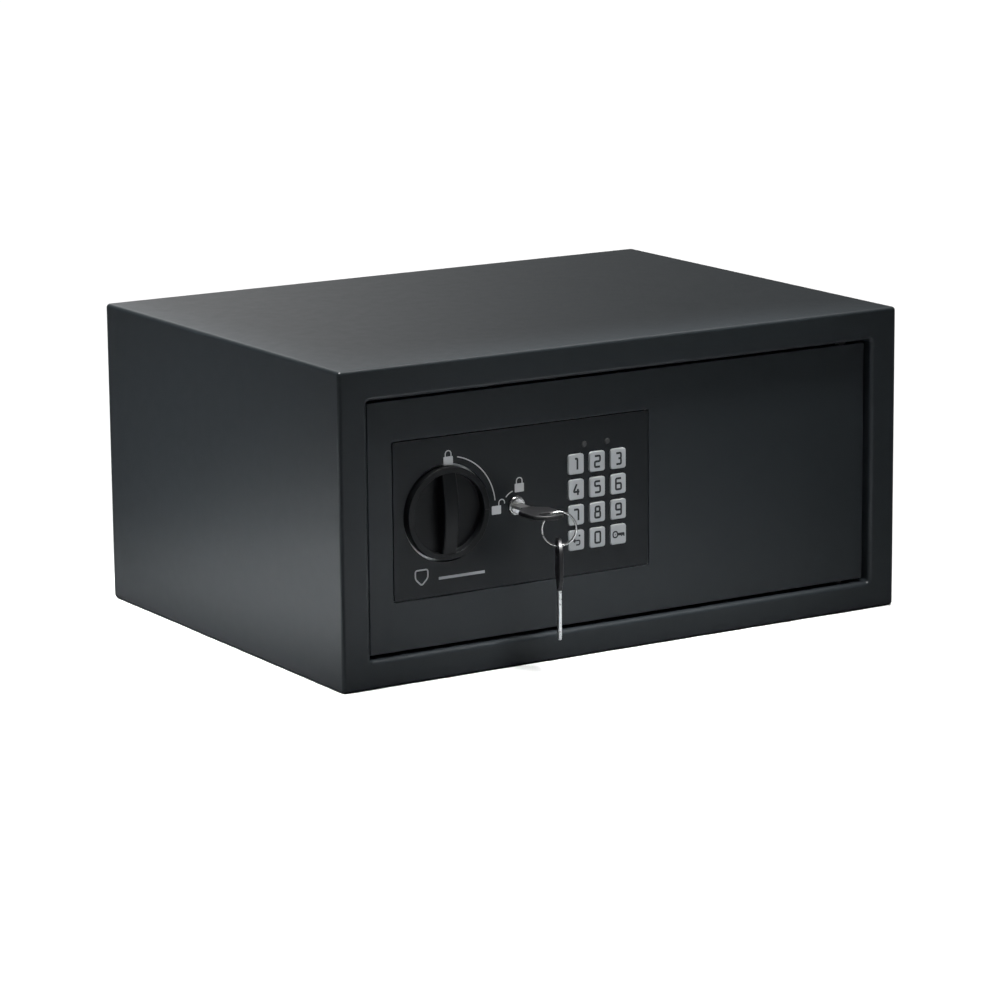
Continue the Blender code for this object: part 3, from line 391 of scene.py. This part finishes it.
def from_node(node, width=0.0, segments=2):
    """A merged copy of a node's shape, with its edges rounded."""
    obj = copied(frame["nodes"][node])
    only(obj)
    bpy.ops.mesh.customdata_custom_splitnormals_clear()
    pick(obj, "VERT", lambda at: True)
    bpy.ops.mesh.remove_doubles(threshold=0.002 * MM)
    bpy.ops.mesh.select_mode(type="FACE")
    bpy.ops.mesh.select_all(action="SELECT")
    bpy.ops.mesh.dissolve_limited(angle_limit=radians(0.5))
    leave()
    if width:
        soften(obj, width, segments)
    return obj


def rounded_path(points, radius, closed):
    """The points of a path whose corners are rounded."""
    steps = 4
    points = [Vector(point) for point in points]
    made = []
    for number, corner in enumerate(points):
        if not closed and number in (0, len(points) - 1):
            made.append(corner)
            continue
        before, after = points[number - 1], points[(number + 1) % len(points)]
        start = corner + (before - corner).normalized() * min(radius, (before - corner).length / 2)
        end = corner + (after - corner).normalized() * min(radius, (after - corner).length / 2)
        for step in range(steps + 1):
            share = step / steps
            made.append(start.lerp(corner, share).lerp(corner.lerp(end, share), share))
    return made


def strokes(paths, width, surface):
    """Flat drawn lines on a surface facing the front. Each path is (its (x, z) points, closed)."""
    curve = bpy.data.curves.new("strokes", "CURVE")
    curve.dimensions = "3D"
    curve.bevel_depth = width / 2
    curve.bevel_resolution = 2
    curve.use_fill_caps = True
    for points, closed in paths:
        spline = curve.splines.new("POLY")
        spline.points.add(len(points) - 1)
        for point, (x, z) in zip(spline.points, points):
            point.co = (x, 0, z, 1)
        spline.use_cyclic_u = closed
    obj = bpy.data.objects.new("strokes", curve)
    bpy.context.scene.collection.objects.link(obj)
    only(obj)
    bpy.ops.object.convert(target="MESH")
    obj = bpy.context.object
    obj.scale = (1, 2 * INK / width, 1)
    obj.location = (0, surface, 0)
    return settled(obj)


# ---------------------------------------------------------------- case

def case():
    """Wrap and front frame as one welded and painted shell, its lip folded back in the opening."""
    low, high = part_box("body_shell")
    front, lip_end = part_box("front_frame")[0].y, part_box("front_frame")[1].y
    door_low, door_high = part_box("door_plate")
    left, right = door_low.x - GAP_LEFT, door_high.x + GAP_RIGHT
    bottom, top = door_low.z - GAP_BELOW, door_high.z + GAP_ABOVE
    shell = block((low.x, front, low.z), high)
    pick(shell, "EDGE", lambda at, way: at.y < high.y - MM)
    bpy.ops.mesh.bevel(offset=BODY_CORNER, segments=5, affect="EDGES")
    leave()
    hollow = block((low.x + SHEET, front + SHEET, low.z + SHEET),
                   (high.x - SHEET, high.y + SHEET, high.z - SHEET))
    combine(shell, hollow, "DIFFERENCE")
    lip = block((left - SHEET, front + SHEET / 2, bottom - SHEET),
                (right + SHEET, lip_end, top + SHEET))
    combine(shell, lip, "UNION")
    opening = block((left, front - SHEET, bottom), (right, lip_end + SHEET, top))
    pick(opening, "EDGE", lambda at, way: abs(way.y) > 0.9)
    bpy.ops.mesh.bevel(offset=LIP_CORNER, segments=4, affect="EDGES")
    leave()
    combine(shell, opening, "DIFFERENCE")

    def fold(at, way):
        inside = left - MM < at.x < right + MM and bottom - MM < at.z < top + MM
        return inside and abs(at.y - front) < MM / 10 and abs(way.y) < 0.1

    pick(shell, "EDGE", fold)
    bpy.ops.mesh.bevel(offset=LIP_BEND, segments=6, affect="EDGES")
    leave()
    for x in (-ANCHOR_X, ANCHOR_X):
        bpy.ops.mesh.primitive_cylinder_add(
            vertices=48, radius=ANCHOR_RADIUS, depth=4 * SHEET, location=(x, ANCHOR_Y, SHEET / 2)
        )
        combine(shell, settled(bpy.context.object), "DIFFERENCE")
    piece(shell, "case", "safe_body", POWDER, ("body_shell", "front_frame"))
    piece(from_node("back_panel", 0.4 * MM), "back_sheet", "safe_body", POWDER,
          ("back_panel",))


def felt_mat():
    """The felt mat: a cut sheet with soft edges, anchor holes and a slightly uneven top."""
    low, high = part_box("floor_mat")
    middle = (low + high) / 2
    width, length = high.x - low.x, high.y - low.y
    bpy.ops.mesh.primitive_grid_add(
        x_subdivisions=106, y_subdivisions=72, size=1,
        location=(middle.x, middle.y, high.z - MAT_DIP),
    )
    mat = bpy.context.object
    mat.scale = (width, length, 1)
    settled(mat)
    lumps = bpy.data.textures.new("felt_lumps", "CLOUDS")
    lumps.noise_scale = 0.03
    apply(mat, "DISPLACE", texture=lumps, strength=0.7 * MM, mid_level=0.5, direction="Z")
    apply(mat, "SOLIDIFY", thickness=high.z - low.z - 2 * MAT_DIP, offset=-1)
    for x in (-ANCHOR_X, ANCHOR_X):
        bpy.ops.mesh.primitive_cylinder_add(
            vertices=32, radius=ANCHOR_RADIUS, depth=30 * MM, location=(x, ANCHOR_Y, high.z)
        )
        combine(mat, settled(bpy.context.object), "DIFFERENCE")
    soften(mat, 0.5 * MM, 2, 60)
    piece(mat, "felt_mat", "safe_body", FELT, ("floor_mat",))


# ---------------------------------------------------------------- door and panel

def door():
    piece(from_node("door_plate", 0.7 * MM, 3), "door_leaf", "door", POWDER,
          ("door_plate",))
    piece(from_node("fascia", 0.3 * MM), "panel", "door", FASCIA, ("fascia",))
    for name in ("hinge_tube_lower", "hinge_tube_upper"):
        piece(from_node(name, 0.3 * MM), name.replace("tube", "knuckle"), "door", ZINC,
              (name,))


def lamps():
    for name in ("led_left", "led_right"):
        low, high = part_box(name)
        radius = (high.x - low.x) / 2
        lamp = drum(((low.x + high.x) / 2, (low.z + high.z) / 2), radius, low.y, high.y, 32)
        pick(lamp, "EDGE", lambda at, way: at.y < low.y + MM / 4 and abs(way.y) < 0.1)
        bpy.ops.mesh.bevel(offset=0.9 * MM, segments=8, affect="EDGES")
        leave()
        piece(lamp, name.replace("led", "lamp"), "door", LENS, (name,), 60)


def knob():
    """A disc dished on both sides of a crowned grip, with a boss behind and a pointer groove."""
    low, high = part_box("knob")
    x, z = (low.x + high.x) / 2, (low.z + high.z) / 2
    radius = (high.x - low.x) / 2
    rim, back = low.y + KNOB_CROWN, high.y - KNOB_BOSS_LENGTH
    floor = rim + KNOB_RECESS
    disc = drum((x, z), radius, rim, back, 144)
    pick(disc, "FACE", lambda at, way: way.y < -0.9)
    bpy.ops.mesh.inset(thickness=KNOB_RIM)
    bpy.ops.mesh.extrude_region_move(TRANSFORM_OT_translate={"value": (0, KNOB_RECESS, 0)})
    leave()
    soften(disc, 0.4 * MM, 3)
    reach = radius - KNOB_RIM + MM
    half = GRIP_WIDTH / 2
    grip = block((x - half, low.y, z - reach), (x + half, floor + MM, z + reach))
    pick(grip, "EDGE", lambda at, way: abs(way.z) > 0.9)
    cuts = 19
    bpy.ops.mesh.subdivide(number_cuts=cuts)
    leave()
    for row in range(cuts + 2):
        height = z - reach + 2 * reach * row / (cuts + 1)
        fall = (KNOB_CROWN + 0.4 * MM) * ((height - z) / reach) ** 2
        pick(grip, "VERT", lambda at: at.y < low.y + MM / 4 and abs(at.z - height) < MM / 4)
        bpy.ops.transform.translate(value=(0, fall, 0))
        leave()
    soften(grip, 1.1 * MM, 4, 60)
    combine(disc, grip, "UNION")
    combine(disc, drum((x, z), KNOB_BOSS_RADIUS, back - MM, high.y, 64), "UNION")
    groove = block((x + radius - 3.4 * MM, rim - MM, z - 0.45 * MM),
                   (x + radius + MM, rim + 0.4 * MM, z + 0.45 * MM))
    combine(disc, groove, "DIFFERENCE")
    piece(disc, "turn_knob", "knob_set", KNOB, ("knob",), 32)


# ---------------------------------------------------------------- keypad

def glyphs():
    """The drawn lines of each key, in a cell that is mostly -1 to 1: (points, closed)."""
    wide = 0.85
    return {
        "1": [([(-0.45, 1), (0.35, 1), (0.35, -1)], False)],
        "2": [([(-wide, 1), (wide, 1), (wide, 0), (-wide, 0), (-wide, -1), (wide, -1)], False)],
        "3": [([(-0.7, 1), (wide, 1), (wide, 0.03), (0, 0.03)], False),
              ([(0, 0.03), (wide, 0.03), (wide, -1), (-0.7, -1)], False)],
        "4": [([(0.1, 1), (-0.95, -0.4), (0.95, -0.4)], False), ([(0.45, 0.1), (0.45, -1)], False)],
        "5": [([(wide, 1), (-wide, 1), (-wide, 0.15), (wide, 0.15), (wide, -1), (-wide, -1)],
               False)],
        "6": [([(wide, 1), (-wide, 1), (-wide, -1), (wide, -1), (wide, 0.1), (-wide, 0.1)],
               False)],
        "7": [([(-wide, 1), (0.6, 1), (0.6, -1)], False)],
        "8": [([(-0.7, 1), (0.7, 1), (0.7, 0.08), (-0.7, 0.08)], True),
              ([(-wide, 0.08), (wide, 0.08), (wide, -1), (-wide, -1)], True)],
        "9": [([(-wide, -1), (wide, -1), (wide, 1), (-wide, 1), (-wide, -0.1), (wide, -0.1)],
               False)],
        "0": [([(-wide, 1), (wide, 1), (wide, -1), (-wide, -1)], True)],
        "clear": [([(-1.1, -0.05), (1.0, -0.05), (1.0, -0.85), (-0.2, -0.85)], False),
                  ([(-0.5, 0.25), (-1.15, -0.05), (-0.5, -0.35)], False),
                  ([(0.6, 0.8), (1.2, 0.8)], False), ([(0.9, 0.98), (0.9, 0.62)], False)],
        "enter": [([(-1.85, 0.55), (-0.35, 0.55), (-0.35, -0.55), (-1.85, -0.55)], True),
                  ([(-1.2, 0), (-1.0, 0)], False),
                  ([(-0.35, 0.12), (1.85, 0.12)], False), ([(-0.35, -0.12), (1.85, -0.12)], False),
                  ([(1.75, 0.1), (1.75, -0.45)], False), ([(1.0, 0), (1.0, -0.4)], False)],
    }


def keypad():
    """One cap with its flange, copied twelve times, each with its own drawn character."""
    low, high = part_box("key_1")
    master = block((low.x + CAP_INSET, low.y, low.z + CAP_INSET),
                   (high.x - CAP_INSET, high.y - CAP_FLANGE / 2, high.z - CAP_INSET))
    pick(master, "EDGE", lambda at, way: abs(way.y) > 0.9)
    bpy.ops.mesh.bevel(offset=CAP_CORNER, segments=5, affect="EDGES")
    leave()
    pick(master, "EDGE", lambda at, way: at.y < low.y + MM / 8 and abs(way.y) < 0.1)
    bpy.ops.mesh.bevel(offset=CAP_EDGE, segments=3, affect="EDGES")
    leave()
    rear = block((low.x, high.y - CAP_FLANGE, low.z), high)
    combine(master, soften(rear, 0.25 * MM, 2), "UNION")
    first = (low + high) / 2
    for key, drawn in glyphs().items():
        node = f"key_{key}"
        at = sum(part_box(node), Vector()) / 2
        cap = copied(master)
        cap.location = at - first
        settled(cap)
        body = f"button_{key}"
        piece(cap, f"cap_{key}", body, KEY_CAP, (node,), 40)
        paths = []
        fine = key in ("clear", "enter")
        for points, closed in drawn:
            full = [(at.x + u * DIGIT_REACH[0], at.z + v * DIGIT_REACH[1]) for u, v in points]
            paths.append((rounded_path(full, 2.2 * MM if key == "enter" else MM, closed), closed))
        width = DIGIT_STROKE * (0.7 if fine else 1)
        ink = strokes(paths, width, low.y)
        piece(ink, f"character_{key}", body, INK_DARK)
    bpy.data.objects.remove(master)


# ---------------------------------------------------------------- prints on the panel

def padlock(name, left, bottom, width, height, surface, shift=0.0):
    """A small printed padlock. A shift moves the shackle aside, so that the lock reads as open."""
    body = block((left, surface - INK, bottom), (left + width, surface + INK / 2, bottom + height))
    pick(body, "EDGE", lambda at, way: abs(way.y) > 0.9)
    bpy.ops.mesh.bevel(offset=0.5 * MM, segments=3, affect="EDGES")
    leave()
    piece(body, f"{name}_body", "door", INK_LIGHT)
    middle, half = left + width / 2 + shift, width * 0.31
    crown = bottom + height + 1.6 * MM
    arch = [(middle + half * cos(angle * pi / 10), crown + half * sin(angle * pi / 10))
            for angle in range(11)]
    foot = crown - 0.8 * MM if shift else bottom + height
    legs = [(middle + half, foot), *arch, (middle - half, bottom + height)]
    piece(strokes([(legs, False)], PRINT_STROKE, surface), f"{name}_shackle", "door", INK_LIGHT)


def arc(name, centre, radius, start, end, surface):
    steps = 24
    points = []
    for step in range(steps + 1):
        angle = radians(start + (end - start) * step / steps)
        points.append((centre[0] + radius * cos(angle), centre[1] + radius * sin(angle)))
    piece(strokes([(points, False)], PRINT_STROKE, surface), name, "door", INK_LIGHT)


def prints():
    """Shut and open padlocks at the ends of two turning arcs, and a plain shield with a bar."""
    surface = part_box("fascia")[0].y
    low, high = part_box("knob")
    knob_at = ((low.x + high.x) / 2, (low.z + high.z) / 2)
    low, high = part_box("lock_barrel")
    lock_at = ((low.x + high.x) / 2, (low.z + high.z) / 2)
    padlock("shut_by_knob", knob_at[0] - 1.9 * MM, knob_at[1] + 30.6 * MM, *PADLOCK, surface)
    padlock("open_mark", knob_at[0] + 33.5 * MM, knob_at[1] - 5.5 * MM, *PADLOCK, surface, 4 * MM)
    padlock("shut_by_lock", lock_at[0] - 1.1 * MM, lock_at[1] + 8.6 * MM, *PADLOCK, surface)
    arc("knob_arc", knob_at, KNOB_ARC, 77, 6, surface)
    arc("lock_arc", lock_at, LOCK_ARC, 141, 105, surface)
    shield = [(-1, 1), (1, 1), (1, -0.15), (0, -1.1), (-1, -0.15)]
    outline = [(SHIELD_X + u * SHIELD_REACH[0], SHIELD_Z + v * SHIELD_REACH[1]) for u, v in shield]
    piece(strokes([(rounded_path(outline, 1.6 * MM, True), True)], MM, surface), "plain_shield",
          "door", INK_LIGHT)
    bar = block((BAR_X[0], surface - INK, BAR_Z[0]), (BAR_X[1], surface + INK / 2, BAR_Z[1]))
    piece(soften(bar, 0.03 * MM, 1), "plain_bar", "door", INK_LIGHT)


# ---------------------------------------------------------------- lock and keys

def lock():
    piece(from_node("lock_barrel", 0.12 * MM), "lock_collar", "door", NICKEL,
          ("lock_barrel",))
    piece(from_node("lock_plug", 0.12 * MM), "lock_core", "plug", NICKEL,
          ("lock_plug",))


def keys():
    """Both keys: a moulded head on a steel blade."""
    for head, blade, body in (("key_bow", "key_blade", "lock_key"),
                              ("spare_key_bow", "spare_key_blade", "spare_key")):
        piece(from_node(head), head.replace("bow", "head"), body, KEY_HEAD,
              (head,), 50)
        piece(from_node(blade, 0.3 * MM, 3), blade.replace("blade", "shank"), body, BLADE,
              (blade,))


def ring():
    """The wire ring, with a small gap between its two ends."""
    low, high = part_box("key_ring")
    middle = (low + high) / 2
    radius = (high.z - low.z) / 2 - RING_WIRE
    across, along = high.x - low.x - 2 * RING_WIRE, high.y - low.y - 2 * RING_WIRE
    side = Vector((across / (2 * radius), -along / (2 * radius), 0)).normalized()
    steps, gap = 120, radians(2)
    curve = bpy.data.curves.new("wire_ring", "CURVE")
    curve.dimensions = "3D"
    curve.bevel_depth = RING_WIRE
    curve.bevel_resolution = 4
    curve.use_fill_caps = True
    spline = curve.splines.new("POLY")
    spline.points.add(steps)
    for step, point in enumerate(spline.points):
        angle = radians(200) + gap + (2 * pi - 2 * gap) * step / steps
        point.co = (*(middle + radius * (cos(angle) * side + Vector((0, 0, sin(angle))))), 1)
    obj = bpy.data.objects.new("wire_ring", curve)
    bpy.context.scene.collection.objects.link(obj)
    only(obj)
    bpy.ops.object.convert(target="MESH")
    piece(bpy.context.object, "wire_ring", "ring", NICKEL, ("key_ring",), 60)


# ---------------------------------------------------------------- inside of the door

def inside():
    piece(from_node("lock_cover"), "works_cover", "door", POWDER,
          ("lock_cover",), 40)
    low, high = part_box("battery_cover")
    lid = soften(block(low, high), 0.6 * MM, 3)
    for row in range(5):
        z = low.z + (high.z - low.z) * (0.3 + 0.1 * row)
        rib = block((low.x + 6 * MM, high.y - MM / 2, z - 0.5 * MM),
                    (low.x + 16 * MM, high.y + 0.6 * MM, z + 0.5 * MM))
        combine(lid, soften(rib, 0.3 * MM, 2), "UNION")
    piece(lid, "battery_lid_cap", "battery_lid", FASCIA, ("battery_cover",))
    for number in range(1, 5):
        node = f"cover_screw_{number}"
        low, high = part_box(node)
        middle = (low + high) / 2
        screw = from_node(node, 0.15 * MM)
        for across, up in ((2.0 * MM, 0.35 * MM), (0.35 * MM, 2.0 * MM)):
            slot = block((middle.x - across, high.y - 1.2 * MM, middle.z - up),
                         (middle.x + across, high.y + MM, middle.z + up))
            combine(screw, slot, "DIFFERENCE")
        piece(screw, f"cross_head_{number}", "door", ZINC, (node,))
    piece(from_node("reset_button", 0.2 * MM), "reset_cap", "reset", RED,
          ("reset_button",))
    for node in ("bolt_lower", "bolt_upper"):
        piece(from_node(node), f"{node}_bar", "bolt_carriage", NICKEL, (node,), 50)


def plain_nodes():
    """Finishes for the nodes that keep their own shape."""
    looks = {
        "zinc_steel": ZINC, "bright_steel": NICKEL, "grey_rubber": RUBBER, "green_board": BOARD,
        "battery_wrap": WRAP, "black_plastic": FASCIA, "powder_coat": POWDER,
    }
    for part in frame["record"]["subparts"]:
        node = frame["nodes"][part["node"]]
        if node.hide_render:
            continue
        node.data.materials.clear()
        node.data.materials.append(looks[part["material_slot"]])


# ---------------------------------------------------------------- studio

def studio():
    bpy.ops.mesh.primitive_plane_add(size=60, location=(0, 0, 0))
    floor = bpy.context.object
    floor.name = "floor"
    paper = Finish("floor_paper", Specular_IOR_Level=0.1)
    speck = paper.noise(0.4, 2.0)
    white = paper.mix(speck, (0.86, 0.86, 0.86), (0.90, 0.90, 0.90))
    seen = paper.node("ShaderNodeLightPath", output=0)
    floor.data.materials.append(paper.coat(paper.mix(seen, BOUNCE, white), 0.9 + 0.05 * speck))
    bpy.ops.object.light_add(type="SUN", rotation=(radians(-14), radians(6), 0))
    sky = bpy.context.object
    sky.name = "overhead"
    sky.data.energy = SKY_POWER
    sky.data.angle = SKY_ANGLE
    lights = (
        ("left_pool", (-0.50, 0.05, 0.8), (-0.50, 0.05, 0), 0.4, 11),
        ("front_pool", (0.0, -0.42, 0.8), (0.0, -0.42, 0), 0.4, 5.5),
        ("back", (0.9, 2.6, 1.0), (0, 0, 0.2), 1.8, 0.5),
    )
    for name, at, to, size, power in lights:
        bpy.ops.object.light_add(type="AREA", location=at)
        lamp = bpy.context.object
        lamp.name = name
        lamp.data.size = size
        lamp.data.energy = power
        lamp.data.spread = LAMP_SPREAD
        lamp.rotation_euler = (Vector(to) - Vector(at)).to_track_quat("-Z", "Y").to_euler()
    world = bpy.data.worlds.new("studio")
    bpy.context.scene.world = world
    world.use_nodes = True
    air = world.node_tree.nodes["Background"]
    air.inputs["Color"].default_value = (1, 1, 1, 1)
    air.inputs["Strength"].default_value = WORLD_STRENGTH
    bpy.context.scene.view_settings.view_transform = "Standard"


def camera():
    back = Vector((sin(AZIMUTH) * cos(ELEVATION), -cos(AZIMUTH) * cos(ELEVATION), sin(ELEVATION)))
    bpy.ops.object.camera_add(location=TARGET + DISTANCE * back)
    eye = bpy.context.object
    eye.rotation_mode = "QUATERNION"
    tilt = Quaternion((0, 0, 1), ROLL)
    eye.rotation_quaternion = (-back).to_track_quat("-Z", "Y") @ tilt
    eye.data.lens = FOCAL_LENGTH
    eye.data.sensor_width = SENSOR_WIDTH
    eye.data.dof.use_dof = False
    bpy.context.scene.camera = eye


camera()
case()
felt_mat()
door()
lamps()
knob()
keypad()
prints()
lock()
keys()
ring()
inside()
plain_nodes()
studio()
